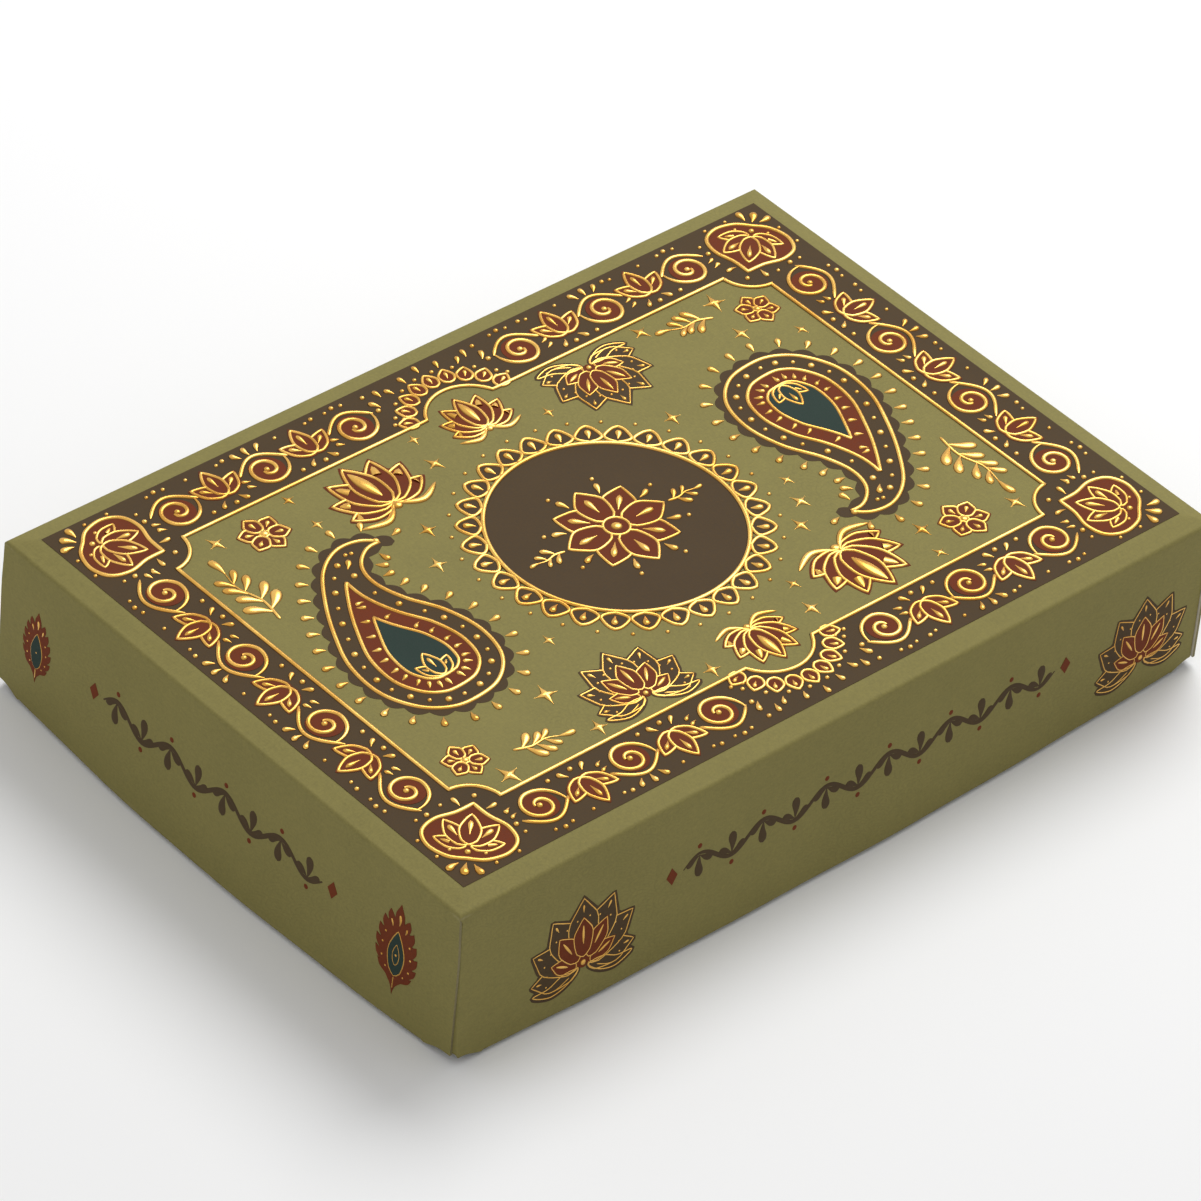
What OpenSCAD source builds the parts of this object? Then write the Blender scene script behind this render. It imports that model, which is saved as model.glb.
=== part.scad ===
// Mithai sweet box: a folding-card lid that slides down over a matching tray,
// with a slotted card divider, a card pad and a paper-thin cover card inside.
// X runs along the long side, Y from the front wall to the back wall, Z up from the table.

/* [Lid] */
// Length of the lid between its top folds
lid_length = 254; // [200:1:340]
// Width of the lid between its top folds
lid_width = 175; // [140:1:240]
// Height of the lid from its rim to the printed face
lid_height = 47.5; // [40:0.5:80]
// Gap between the table and the rim of the lid
rim_gap = 1; // [0.5:0.5:4]
// Width of the sloping band around the printed face
edge_band = 6.5; // [5:0.5:10]
// How far the sloping band falls from the printed face to the fold
edge_drop = 1.3; // [0.4:0.1:2]
// Outer radius of the folded top edges
fold_radius = 1.2; // [1:0.1:2]
// How far the middle of a long wall bows out at the rim
long_bow = 3.7; // [0:0.1:6]
// How far the middle of a short wall bows out at the rim
short_bow = 4.4; // [0:0.1:6]
// How far the free end of a long wall springs out at the rim
end_flare = 2.4; // [0:0.1:4]
// Height of the notch at each corner of the rim
notch_height = 2; // [1:0.5:4]
// Length of the notch at each corner of the rim
notch_length = 5.5; // [3:0.5:9]

/* [Board] */
// Thickness of the folded card
board = 0.8; // [0.6:0.05:0.9]
// Thickness of the glued corner webs
web = 0.6; // [0.4:0.05:0.7]
// Air left between two layers of card
ply_gap = 0.05; // [0.03:0.01:0.08]
// How far each corner web reaches behind its short wall
web_reach = 30; // [15:1:45]

/* [Tray] */
// Clearance between the lid's lining and each tray wall
lid_clearance = 0.7; // [0.4:0.1:1.5]
// Thickness of the card pad on the tray floor
pad_thick = 0.6; // [0.4:0.1:1.5]
// Clearance all round the loose pad, divider and cover card
loose_gap = 0.5; // [0.3:0.1:1.5]

/* [Divider] */
// Height of the divider strips
strip_height = 36; // [20:1:36]
// Thickness of the divider strips
strip_thick = 0.8; // [0.6:0.1:1.2]
// Width of the slots where two strips cross
slot_width = 1; // [1:0.1:1.6]
// Thickness of the cover card that lies on the divider
cover_thick = 0.4; // [0.3:0.1:0.8]

/* [Print] */
// Width of the dark printed border
border_width = 19.5; // [14:0.5:24]
// Radius of the scooped corners of the border's inner edge
scoop_radius = 9; // [5:0.5:12]
// Radius of the round bay in the middle of each long border
bay_radius = 13; // [8:0.5:13]
// Width of the foil line along the inner edge
foil_line = 1; // [0.6:0.1:2]
// Radius of the dark disc in the middle
disc_radius = 33.5; // [24:0.5:34]
// Number of petals round the disc
petals = 30; // [20:1:36]
// Radial length of a petal
petal_length = 7.5; // [5:0.5:8]
// Thickness of the printed and foiled layers
film = 0.12; // [0.08:0.02:0.3]

/* [Hidden] */

// Segments along a long wall and along a short wall
long_steps = 14;
short_steps = 10;
// Cutting bodies run past what they cut
past = 1;

half_length = lid_length / 2;
half_width = lid_width / 2;
rim_z = rim_gap;
top_z = rim_gap + lid_height;
band_z = top_z - edge_drop;
fold_z = band_z - fold_radius;

// Layers of a wall, counted in from its outer face: the long walls hold shell and lining,
// the short walls also hold a corner web between them
lining_in_long = board + ply_gap;
web_in = board + ply_gap;
lining_in_short = web_in + web + ply_gap;
long_wall = lining_in_long + board;
short_wall = lining_in_short + board;

// The tray stands inside the lid's lining and stops just under its sloping band
tray_half_x = half_length - short_wall - lid_clearance;
tray_half_y = half_width - long_wall - lid_clearance;
tray_height = band_z - board - 0.2;
inside_half_x = tray_half_x - short_wall;
inside_half_y = tray_half_y - long_wall;
floor_z = board;
rest_gap = 0.1;
pad_z = floor_z + ply_gap;
strip_z = pad_z + pad_thick + rest_gap;
cover_z = strip_z + strip_height + rest_gap;
column_pitch = 2 * inside_half_x / 4;
row_pitch = 2 * inside_half_y / 3;

// The printed face and the field inside its border
print_half_x = half_length - edge_band;
print_half_y = half_width - edge_band;
field_half_x = print_half_x - border_width;
field_half_y = print_half_y - border_width;
bay_out = 7;
slit_width = 0.3;
crease_width = 1.4;

// Colours of the printed card, the bare card inside, ink and foil
sage = "#857d4e";
cream = "#d8cdb2";
kraft = "#b79f78";
ink = "#4a3628";
gold = "#d2a63c";

// Outline of a lid ring, inset from the folds: mid walls bowed out by bows = [long, short], and
// the front left and back right ends flared out. Points between corners keep their place along
// the wall at every inset, so nested layers never cross.
function front_points(inset_x, inset_y, bow, flare) =
    [for (i = [0 : long_steps - 1])
        let (s = 2 * i / long_steps - 1)
        [i == 0 ? inset_x - half_length : half_length * s,
         inset_y - half_width - bow * (1 - s * s) - flare * pow((1 - s) / 2, 2)]];

function right_points(inset_x, inset_y, bow, flare) =
    [for (i = [0 : short_steps - 1])
        let (s = 2 * i / short_steps - 1)
        [half_length - inset_x + bow * (1 - s * s),
         i == 0 ? inset_y - half_width : -half_width + (2 * half_width + flare) * i / short_steps]];

function outline(inset_x, inset_y, bows, flare) =
    let (half = concat(front_points(inset_x, inset_y, bows[0], flare),
                       right_points(inset_x, inset_y, bows[1], flare)))
    concat(half, -1 * half);

// A ring is [z, inset along X, inset along Y, share of the bow]
function ring_points(ring) =
    [for (p = outline(ring[1], ring[2], ring[3] * [long_bow, short_bow], ring[3] * end_flare))
        [p[0], p[1], ring[0]]];

// Solid between stacked rings, each with the same number of points, closed by a fan at each end
module loft(rings) {
    n = 2 * (long_steps + short_steps);
    last = len(rings) - 1;
    low_middle = (last + 1) * n;
    points = concat([for (ring = rings) for (p = ring_points(ring)) p],
                    [[0, 0, rings[0][0]], [0, 0, rings[last][0]]]);
    sides = [for (k = [0 : last - 1]) for (i = [0 : n - 1])
        let (j = (i + 1) % n, a = k * n + i, b = k * n + j)
        each [[a, a + n, b + n], [a, b + n, b]]];
    ends = [for (i = [0 : n - 1])
        let (j = (i + 1) % n)
        each [[low_middle, i, j], [low_middle + 1, last * n + j, last * n + i]]];
    polyhedron(points = points, faces = concat(sides, ends));
}

// Solid inside the walls at a given inset, carried on past the rim and the fold by reach
module wall_body(inset, reach) {
    slope = fold_z - rim_z;
    loft([[rim_z - reach, inset, inset, 1 + reach / slope],
          [fold_z + reach, inset, inset, -reach / slope]]);
}

// Layer of the walls from one inset inward, kept only inside the block between two corners
module wall_layer(inset, thick, low, high) {
    intersection() {
        difference() {
            wall_body(inset, past);
            wall_body(inset + thick, 2 * past);
        }
        translate(low) cube(high - low);
    }
}

module mirrored_x() {
    children();
    mirror([1, 0, 0]) children();
}

module mirrored_y() {
    children();
    mirror([0, 1, 0]) children();
}

module turned() {
    children();
    rotate([0, 0, 180]) children();
}

module lid_shell() {
    rounding = fold_radius * (1 - sin(45));
    slope = fold_z - rim_z;
    color(sage) difference() {
        loft([[rim_z, 0, 0, 1],
              [fold_z, 0, 0, 0],
              [band_z - rounding, rounding, rounding, 0],
              [band_z, fold_radius, fold_radius, 0],
              [top_z, edge_band, edge_band, 0]]);
        loft([[rim_z - past, board, board, 1 + past / slope],
              [fold_z, board, board, 0],
              [band_z - board, fold_radius + rounding, fold_radius + rounding, 0],
              [top_z - board, edge_band, edge_band, 0]]);
        // Corner slits part each long wall from the edge of the short wall
        mirrored_x() mirrored_y()
            translate([half_length - board - slit_width, half_width - board - past, rim_z - past])
                cube([slit_width, board + end_flare + 3 * past, fold_z - rim_z + past - crease_width]);
        // Rim notches where no lining is turned in
        mirrored_x() mirrored_y() corner_notch();
    }
}

module corner_notch() {
    deep = 2 * (board + past) + end_flare;
    translate([half_length - notch_length, half_width - board - past, rim_z - past])
        cube([notch_length - board - slit_width / 2, deep, notch_height + past]);
    translate([half_length - board - slit_width / 2, half_width - notch_length, rim_z - past])
        cube([deep, notch_length + deep, notch_height + past]);
}

module lid_lining_front() {
    x = half_length - notch_length;
    color(cream) wall_layer(lining_in_long, board,
        [-x, -half_width - long_bow - end_flare, rim_z], [x, -half_width / 2, fold_z - past]);
}

module lid_lining_back() {
    rotate([0, 0, 180]) lid_lining_front();
}

module lid_lining_right() {
    y = half_width - notch_length;
    color(cream) wall_layer(lining_in_short, board,
        [half_length / 2, -y, rim_z], [half_length + short_bow, y, fold_z - past]);
}

module lid_lining_left() {
    rotate([0, 0, 180]) lid_lining_right();
}

// Webs behind the right wall's two ends, and the same turned half round behind the left wall's
module lid_corner_webs() {
    low_z = rim_z + notch_height + past;
    high_z = fold_z - past;
    low_x = half_length - web_in - web;
    high_x = half_length + short_bow;
    corner = half_width - web_in;
    color(cream) turned() {
        wall_layer(web_in, web, [low_x, -corner, low_z], [high_x, web_reach - corner, high_z]);
        wall_layer(web_in, web, [low_x, corner - web_reach, low_z], [high_x, corner, high_z]);
    }
}

// Inner edge of the border: a rectangle with scooped corners and a round bay in each long side
module scooped_field(inset) {
    difference() {
        square(2 * [field_half_x - inset, field_half_y - inset], center = true);
        mirrored_x() mirrored_y()
            translate([field_half_x, field_half_y]) circle(r = scoop_radius + inset, $fn = 48);
    }
}

module bays(inset) {
    mirrored_y() translate([0, field_half_y + bay_out - bay_radius])
        circle(r = bay_radius - inset, $fn = 64);
}

module printed_border() {
    color(ink) translate([0, 0, top_z]) linear_extrude(film) difference() {
        square([2 * print_half_x, 2 * print_half_y], center = true);
        scooped_field(0);
        bays(0);
    }
}

module foil_frame() {
    inner_y = field_half_y - foil_line;
    color(gold) translate([0, 0, top_z]) linear_extrude(2 * film) {
        difference() {
            scooped_field(0);
            scooped_field(foil_line);
            bays(foil_line);
        }
        difference() {
            bays(0);
            bays(foil_line);
            square([lid_length, 2 * inner_y], center = true);
        }
    }
}

module medallion_ground() {
    color(ink) translate([0, 0, top_z]) cylinder(r = disc_radius, h = film, $fn = 96);
}

module medallion_foil() {
    petal_radius = petal_length / 2;
    color(gold) translate([0, 0, top_z]) linear_extrude(2 * film) difference() {
        union() {
            circle(r = disc_radius + petal_length / 3, $fn = 96);
            for (i = [0 : petals - 1])
                rotate(i * 360 / petals)
                    translate([disc_radius + petal_length - petal_radius, 0])
                        circle(r = petal_radius, $fn = 24);
        }
        circle(r = disc_radius, $fn = 96);
    }
}

module base_shell() {
    color(sage) difference() {
        translate([-tray_half_x, -tray_half_y, 0])
            cube([2 * tray_half_x, 2 * tray_half_y, tray_height]);
        translate([-tray_half_x + board, -tray_half_y + board, floor_z])
            cube([2 * (tray_half_x - board), 2 * (tray_half_y - board), tray_height]);
        mirrored_x() mirrored_y() tray_notch();
    }
}

// The tray's rim is also lower at its corners, where no lining is turned in
module tray_notch() {
    translate([tray_half_x - notch_length, tray_half_y - board - past, tray_height - notch_height])
        cube([notch_length + past, board + 2 * past, notch_height + past]);
    translate([tray_half_x - board - past, tray_half_y - notch_length, tray_height - notch_height])
        cube([board + 2 * past, notch_length + past, notch_height + past]);
}

module base_lining_front() {
    x = tray_half_x - notch_length;
    color(cream) translate([-x, -tray_half_y + lining_in_long, floor_z + ply_gap])
        cube([2 * x, board, tray_height - floor_z - ply_gap]);
}

module base_lining_back() {
    mirror([0, 1, 0]) base_lining_front();
}

module base_lining_left() {
    y = tray_half_y - notch_length;
    color(cream) translate([-tray_half_x + lining_in_short, -y, floor_z + ply_gap])
        cube([board, 2 * y, tray_height - floor_z - ply_gap]);
}

module base_lining_right() {
    mirror([1, 0, 0]) base_lining_left();
}

module base_corner_webs() {
    web_z = floor_z + ply_gap;
    color(cream) mirrored_x() mirrored_y()
        translate([tray_half_x - web_in - web, tray_half_y - web_in - web_reach, web_z])
            cube([web, web_reach, tray_height - notch_height - past - web_z]);
}

module base_pad() {
    x = inside_half_x - loose_gap;
    y = inside_half_y - loose_gap;
    color(gold) translate([-x, -y, pad_z]) cube([2 * x, 2 * y, pad_thick]);
}

// Divider strip along X, slotted from its top edge where the cross strips drop in
module long_strip(y) {
    x = inside_half_x - loose_gap;
    color(kraft) difference() {
        translate([-x, y - strip_thick / 2, strip_z]) cube([2 * x, strip_thick, strip_height]);
        for (i = [-1 : 1])
            translate([i * column_pitch - slot_width / 2, y - strip_thick, strip_z + strip_height / 2])
                cube([slot_width, 2 * strip_thick, strip_height]);
    }
}

// Divider strip along Y, slotted from its bottom edge
module cross_strip(x) {
    y = inside_half_y - loose_gap;
    color(kraft) difference() {
        translate([x - strip_thick / 2, -y, strip_z]) cube([strip_thick, 2 * y, strip_height]);
        for (i = [-1 : 2 : 1])
            translate([x - strip_thick, i * row_pitch / 2 - slot_width / 2, strip_z - past])
                cube([2 * strip_thick, slot_width, strip_height / 2 + past + rest_gap]);
    }
}

module partition_long_front() { long_strip(-row_pitch / 2); }
module partition_long_back() { long_strip(row_pitch / 2); }
module partition_cross_left() { cross_strip(-column_pitch); }
module partition_cross_middle() { cross_strip(0); }
module partition_cross_right() { cross_strip(column_pitch); }

module cover_card() {
    x = inside_half_x - loose_gap;
    y = inside_half_y - loose_gap;
    color(cream) translate([-x, -y, cover_z]) cube([2 * x, 2 * y, cover_thick]);
}

lid_shell();
lid_lining_front();
lid_lining_back();
lid_lining_left();
lid_lining_right();
lid_corner_webs();
printed_border();
foil_frame();
medallion_ground();
medallion_foil();
base_shell();
base_lining_front();
base_lining_back();
base_lining_left();
base_lining_right();
base_corner_webs();
base_pad();
partition_long_front();
partition_long_back();
partition_cross_left();
partition_cross_middle();
partition_cross_right();
cover_card();
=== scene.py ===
# Folded card sweet box: foiled lid, tray, slotted divider, pad and cover card
import cmath
import math
import random

import bmesh
import bpy
from mathutils import Matrix, Vector
from mathutils.geometry import tessellate_polygon


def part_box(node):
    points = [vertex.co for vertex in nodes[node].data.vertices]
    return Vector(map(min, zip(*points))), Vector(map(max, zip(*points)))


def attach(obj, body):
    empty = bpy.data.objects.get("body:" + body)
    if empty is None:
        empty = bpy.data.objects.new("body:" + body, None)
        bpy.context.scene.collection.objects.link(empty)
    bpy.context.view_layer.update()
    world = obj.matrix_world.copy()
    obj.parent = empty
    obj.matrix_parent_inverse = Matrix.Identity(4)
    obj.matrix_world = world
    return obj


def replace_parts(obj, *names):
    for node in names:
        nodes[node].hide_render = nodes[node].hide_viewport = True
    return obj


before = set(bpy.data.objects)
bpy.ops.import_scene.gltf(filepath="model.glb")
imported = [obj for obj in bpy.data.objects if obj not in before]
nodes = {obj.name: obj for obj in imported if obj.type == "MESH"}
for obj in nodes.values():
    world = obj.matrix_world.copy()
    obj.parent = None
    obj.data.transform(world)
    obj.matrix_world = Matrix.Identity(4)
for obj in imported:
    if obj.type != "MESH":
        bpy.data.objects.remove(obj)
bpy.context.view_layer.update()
scene = bpy.context.scene
mm = 0.001
print("frame loaded,", len(nodes), "nodes")


# Camera, matched to the photo's long lens; angles in degrees
cameraSet = {
    "place": (-1.104, -1.099, 1.299), "azimuth": -45.05, "elevation": 39.3, "roll": 5.72,
    "lens": 237.4, "sensor": 36, "reach": 20,
}


def makeCamera(c):
    azimuth, elevation, roll = (math.radians(c[key]) for key in ("azimuth", "elevation", "roll"))
    back = Vector((math.sin(azimuth) * math.cos(elevation),
                   -math.cos(azimuth) * math.cos(elevation), math.sin(elevation)))
    right = Vector((math.cos(azimuth), math.sin(azimuth), 0))
    up = back.cross(right)
    side = right * math.cos(roll) + up * math.sin(roll)
    top = up * math.cos(roll) - right * math.sin(roll)
    data = bpy.data.cameras.new("camera")
    data.lens = c["lens"]
    data.sensor_width = c["sensor"]
    data.clip_end = c["reach"]
    camera = bpy.data.objects.new("camera", data)
    camera.matrix_world = Matrix.Translation(c["place"]) @ Matrix((side, top, back)).transposed().to_4x4()
    scene.collection.objects.link(camera)
    scene.camera = camera


makeCamera(cameraSet)


class Wiring:
    # Adds nodes to one tree; a value is a number, a tuple or another node's output
    def __init__(self, tree):
        self.tree = tree

    def feed(self, socket, value):
        if isinstance(value, (int, float)):
            socket.default_value = value
        elif isinstance(value, tuple):
            socket.default_value = (*value, 1) if len(value) < 4 and socket.type == "RGBA" else value
        else:
            self.tree.links.new(value, socket)

    def add(self, kind, inputs=None, **settings):
        node = self.tree.nodes.new("ShaderNode" + kind)
        for key, value in settings.items():
            setattr(node, key, value)
        for key, value in (inputs or {}).items():
            self.feed(node.inputs[key], value)
        return node

    def math(self, operation, *values, clamp=False):
        return self.add("Math", dict(enumerate(values)), operation=operation, use_clamp=clamp).outputs[0]

    def plus(self, a, b):
        return self.math("ADD", a, b)

    def minus(self, a, b):
        return self.math("SUBTRACT", a, b)

    def times(self, a, b):
        return self.math("MULTIPLY", a, b)

    def mix(self, factor, a, b, blend="MIX"):
        return self.add("Mix", {0: factor, 6: a, 7: b}, data_type="RGBA", blend_type=blend).outputs[2]

    def noise(self, vector, scale, detail=2.0, roughness=0.5, distortion=0.0):
        return self.add("TexNoise", {"Vector": vector, "Scale": scale, "Detail": detail,
                                     "Roughness": roughness, "Distortion": distortion}).outputs["Fac"]

    def ramp(self, value, low, high):
        return self.add("MapRange", {"Value": value, "From Min": low, "From Max": high},
                        interpolation_type="SMOOTHSTEP").outputs[0]

    # Reads the wear attribute: rubbed creases on the card, and on foil the painted shade on the flanks
    def wear(self):
        return self.add("Attribute", attribute_name="wear").outputs["Fac"]

    def group(self, group, values):
        node = self.add("Group", node_tree=group)
        for key, value in values.items():
            self.feed(node.inputs[key], value)
        return node.outputs

    def giveOut(self, results):
        # Closes a group with these named results
        for label, value in results.items():
            kind = "NodeSocketColor" if value.type == "RGBA" else "NodeSocketFloat"
            self.tree.interface.new_socket(label, in_out="OUTPUT", socket_type=kind)
        end = self.tree.nodes.new("NodeGroupOutput")
        for label, value in results.items():
            self.tree.links.new(value, end.inputs[label])
        return self.tree


def newGroup(name, inputs):
    # Opens a group: inputs that start at None are vectors, at a tuple colours, at a number plain values
    tree = bpy.data.node_groups.new(name, "ShaderNodeTree")
    for label, value in inputs.items():
        kind = "Vector" if value is None else "Color" if isinstance(value, tuple) else "Float"
        socket = tree.interface.new_socket(label, in_out="INPUT", socket_type="NodeSocket" + kind)
        if value is not None:
            socket.default_value = (*value, 1) if kind == "Color" else value
    return Wiring(tree), tree.nodes.new("NodeGroupInput").outputs


def newMaterial(name):
    material = bpy.data.materials.new(name)
    material.use_nodes = True
    tree = material.node_tree
    return material, Wiring(tree), next(n for n in tree.nodes if n.type == "BSDF_PRINCIPLED")


# Shared surface effects

def makeFibreGroup():
    # Paper fibre: short streaks both ways, cloudy formation and a fine tooth
    n, given = newGroup("paperFibre", {"Vector": None, "Colour": (0.5, 0.5, 0.5), "Mottle": 0.1,
                                       "Speck": 0.1, "Fibre Size": 0.6})
    scale = n.math("DIVIDE", 1.0, n.times(given["Fibre Size"], mm))
    streaks = []
    for stretch in ((1, 0.35, 1), (0.4, 1, 0.7)):
        mapping = n.add("Mapping", {"Vector": given["Vector"], "Scale": stretch})
        streaks.append(n.noise(mapping.outputs[0], scale, 3.0, 0.65, 0.6))
    fibre = n.times(n.plus(*streaks), 0.5)
    fibreShade = n.minus(fibre, 0.5)
    cloudShade = n.minus(n.noise(given["Vector"], 60.0, 4.0, 0.6), 0.5)
    shade = n.plus(n.times(cloudShade, given["Mottle"]), n.times(fibreShade, given["Speck"]))
    bright = n.plus(1.0, shade)
    tint = n.add("CombineColor", {i: bright for i in range(3)}).outputs[0]
    rough = n.math("ADD", n.times(fibreShade, 0.35), 0.78, clamp=True)
    return n.giveOut({"Colour": n.mix(1.0, given["Colour"], tint, "MULTIPLY"), "Height": fibre,
                      "Roughness": rough})


def makeWearGroup():
    # Rubbed creases: the wear attribute broken up by noise
    n, given = newGroup("creaseWear", {"Vector": None, "Colour": (0.5, 0.5, 0.5),
                                       "Bare Colour": (0.7, 0.6, 0.45), "Amount": 0.5})
    coarse = n.noise(given["Vector"], 180.0, 4.0, 0.7)
    fine = n.noise(given["Vector"], 1500.0, 3.0, 0.7)
    rubbed = n.times(n.wear(), n.plus(coarse, n.times(fine, 0.6)))
    mask = n.math("MULTIPLY", n.ramp(rubbed, 0.42, 0.95), given["Amount"], clamp=True)
    return n.giveOut({"Colour": n.mix(mask, given["Colour"], given["Bare Colour"]), "Mask": mask})


def makeScallopGroup():
    # Tone-on-tone lines printed all over: nested arcs in staggered rows
    n, given = newGroup("scallopPrint", {"Vector": None, "Pitch": 9.0, "Line": 0.1})
    x, y, z = n.add("SeparateXYZ", {0: given["Vector"]}).outputs
    warp = n.times(n.minus(n.noise(given["Vector"], 90.0, 1.0), 0.5), 3.2 * mm)
    along = n.plus(n.plus(x, z), warp)
    across = n.plus(n.plus(y, z), warp)
    pitch = n.times(given["Pitch"], mm)
    row = n.math("DIVIDE", across, n.times(pitch, 0.5))
    stagger = n.times(n.math("MODULO", n.math("FLOOR", row), 2.0), 0.5)
    column = n.plus(n.math("DIVIDE", along, pitch), stagger)
    right = n.minus(n.math("FRACT", column), 0.5)
    up = n.times(n.math("FRACT", row), 0.5)
    far = n.math("SQRT", n.plus(n.times(right, right), n.times(up, up)))
    gap = n.math("ABSOLUTE", n.minus(n.math("FRACT", n.times(far, 7.0)), 0.5))
    line = n.minus(1.0, n.ramp(gap, 0.0, given["Line"]))
    patchy = n.ramp(n.noise(given["Vector"], 35.0, 2.0), 0.35, 0.7)
    return n.giveOut({"Mask": n.times(line, patchy)})


def makeFoilGroup():
    # Stamped foil: faint ripples, a drift from lemon to deep gold, and painted shade on the flanks, darker
    # by the wear attribute
    n, given = newGroup("stampedFoil", {
        "Vector": None, "Light Colour": (0.9, 0.7, 0.3), "Deep Colour": (0.6, 0.35, 0.1),
        "Painted Flank Shade": (0.2, 0.1, 0.02), "Ripple Size": 2.0})
    scale = n.math("DIVIDE", 1.0, n.times(given["Ripple Size"], mm))
    ripple = n.noise(given["Vector"], scale, 3.0, 0.55, 0.8)
    drift = n.ramp(n.noise(given["Vector"], 55.0, 3.0, 0.6), 0.3, 0.72)
    gold = n.mix(drift, given["Light Colour"], given["Deep Colour"])
    return n.giveOut({"Colour": n.mix(n.ramp(n.wear(), 0.4, 1.0), gold, given["Painted Flank Shade"]),
                      "Height": ripple, "Roughness": n.plus(n.times(ripple, 0.16), 0.14)})


fibreGroup = makeFibreGroup()
wearGroup = makeWearGroup()
scallopGroup = makeScallopGroup()
foilGroup = makeFoilGroup()


def bumpInto(n, shader, height, strength, distance):
    bump = n.add("Bump", {"Strength": strength, "Distance": distance, "Height": height})
    n.feed(shader.inputs["Normal"], bump.outputs[0])


# Card and paper finishes: cloudiness, fibre contrast, fibre size and bump in mm, crease wear, printed lines
plainCard = dict(mottle=0.16, speck=0.5, size=0.5, bump=0.05, wear=0.0, pattern=0.0)
cardFinishes = {
    "sageCard": dict(colour=(0.225, 0.195, 0.062), speck=0.7, size=0.55, wear=0.55, pattern=0.13),
    "trayCard": dict(colour=(0.175, 0.16, 0.068), size=0.55, wear=0.5),
    "whiteBack": dict(colour=(0.7, 0.655, 0.55), mottle=0.08, speck=0.2, bump=0.04),
    "cutEdge": dict(colour=(0.21, 0.18, 0.09), mottle=0.3, speck=1.0, size=0.3, bump=0.08),
    "dividerCard": dict(colour=(0.66, 0.6, 0.48), mottle=0.12, speck=0.35, size=0.6),
    "coverPaper": dict(colour=(0.74, 0.7, 0.6), mottle=0.1, speck=0.15, size=0.8, bump=0.03, pattern=0.06),
    "brownInk": dict(colour=(0.064, 0.039, 0.016), mottle=0.25, speck=0.9),
    "maroonInk": dict(colour=(0.138, 0.025, 0.004), mottle=0.3, speck=0.8),
    "tealInk": dict(colour=(0.017, 0.034, 0.026), mottle=0.3, speck=0.8),
}


def makeCard(name, f):
    material, n, shader = newMaterial(name)
    place = n.add("TexCoord").outputs["Object"]
    fibre = n.group(fibreGroup, {"Vector": place, "Colour": f["colour"], "Mottle": f["mottle"],
                                 "Speck": f["speck"], "Fibre Size": f["size"]})
    colour = fibre["Colour"]
    if f["pattern"]:
        lines = n.group(scallopGroup, {"Vector": place, "Pitch": 9.0, "Line": 0.22})
        colour = n.mix(n.times(lines["Mask"], f["pattern"]), colour, tuple(c * 0.45 for c in f["colour"]))
    if f["wear"]:
        colour = n.group(wearGroup, {"Vector": place, "Colour": colour, "Amount": f["wear"],
                                     "Bare Colour": (0.4, 0.36, 0.21)})["Colour"]
    n.feed(shader.inputs["Base Color"], colour)
    n.feed(shader.inputs["Roughness"], fibre["Roughness"])
    shader.inputs["Specular IOR Level"].default_value = 0.22
    bumpInto(n, shader, fibre["Height"], 0.6, f["bump"] * mm)
    return material


# Foil finishes: two golds and the painted shade on the flanks, ripple size and bump height in mm
foilFinishes = {
    "goldFoil": dict(light=(0.8, 0.48, 0.12), deep=(0.54, 0.27, 0.045), flankShade=(0.16, 0.065, 0.01),
                     ripple=2.4, bump=0.025),
    "goldPad": dict(light=(0.72, 0.48, 0.17), deep=(0.62, 0.38, 0.11), flankShade=(0.62, 0.38, 0.11),
                    ripple=5.0, bump=0.04),
}


def makeFoil(name, f):
    material, n, shader = newMaterial(name)
    place = n.add("TexCoord").outputs["Object"]
    # Gold with painted shade darkening each stroke's flanks
    foil = n.group(foilGroup, {"Vector": place, "Light Colour": f["light"], "Deep Colour": f["deep"],
                               "Painted Flank Shade": f["flankShade"], "Ripple Size": f["ripple"]})
    n.feed(shader.inputs["Base Color"], foil["Colour"])
    n.feed(shader.inputs["Roughness"], foil["Roughness"])
    shader.inputs["Metallic"].default_value = 1.0
    bumpInto(n, shader, foil["Height"], 0.5, f["bump"] * mm)
    return material


finish = {name: makeCard(name, {**plainCard, **values}) for name, values in cardFinishes.items()}
finish.update({name: makeFoil(name, values) for name, values in foilFinishes.items()})
print("finishes made:", ", ".join(finish))


# Mesh helpers, in millimetres until the last step

def makePiece(name, verts, faces, materials, slots=None, smoothAngle=40, wear=None):
    mesh = bpy.data.meshes.new(name)
    mesh.from_pydata([tuple(c * mm for c in v) for v in verts], [], faces)
    # The wear attribute: rubbed creases on the card, painted shade on the foil's flanks
    if wear:
        mesh.attributes.new("wear", "FLOAT", "POINT").data.foreach_set("value", wear)
    for material in materials:
        mesh.materials.append(finish[material])
    if slots:
        mesh.polygons.foreach_set("material_index", slots)
    mesh.validate()
    mesh.shade_smooth()
    if smoothAngle:
        mesh.set_sharp_from_angle(angle=math.radians(smoothAngle))
    piece = bpy.data.objects.new(name, mesh)
    scene.collection.objects.link(piece)
    return piece


def applyModifiers(piece):
    graph = bpy.context.evaluated_depsgraph_get()
    mesh = bpy.data.meshes.new_from_object(piece.evaluated_get(graph))
    old = piece.data
    piece.modifiers.clear()
    piece.data = mesh
    mesh.name = piece.name
    bpy.data.meshes.remove(old)


def boxMm(node):
    return [[c / mm for c in corner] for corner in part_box(node)]


def smoothStep(value):
    value = min(1.0, max(0.0, value))
    return value * value * (3 - 2 * value)


# Sizes read off the frame, in mm
printX, printY, filmTop = boxMm("printed_border")[1]
topZ = boxMm("printed_border")[0][2]
traySize = boxMm("base_shell")[1]
discRadius = boxMm("medallion_ground")[1][0]
petalReach = boxMm("medallion_foil")[1][0]
fieldX = boxMm("foil_frame")[1][0]
fieldY = printY - (printX - fieldX)


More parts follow.
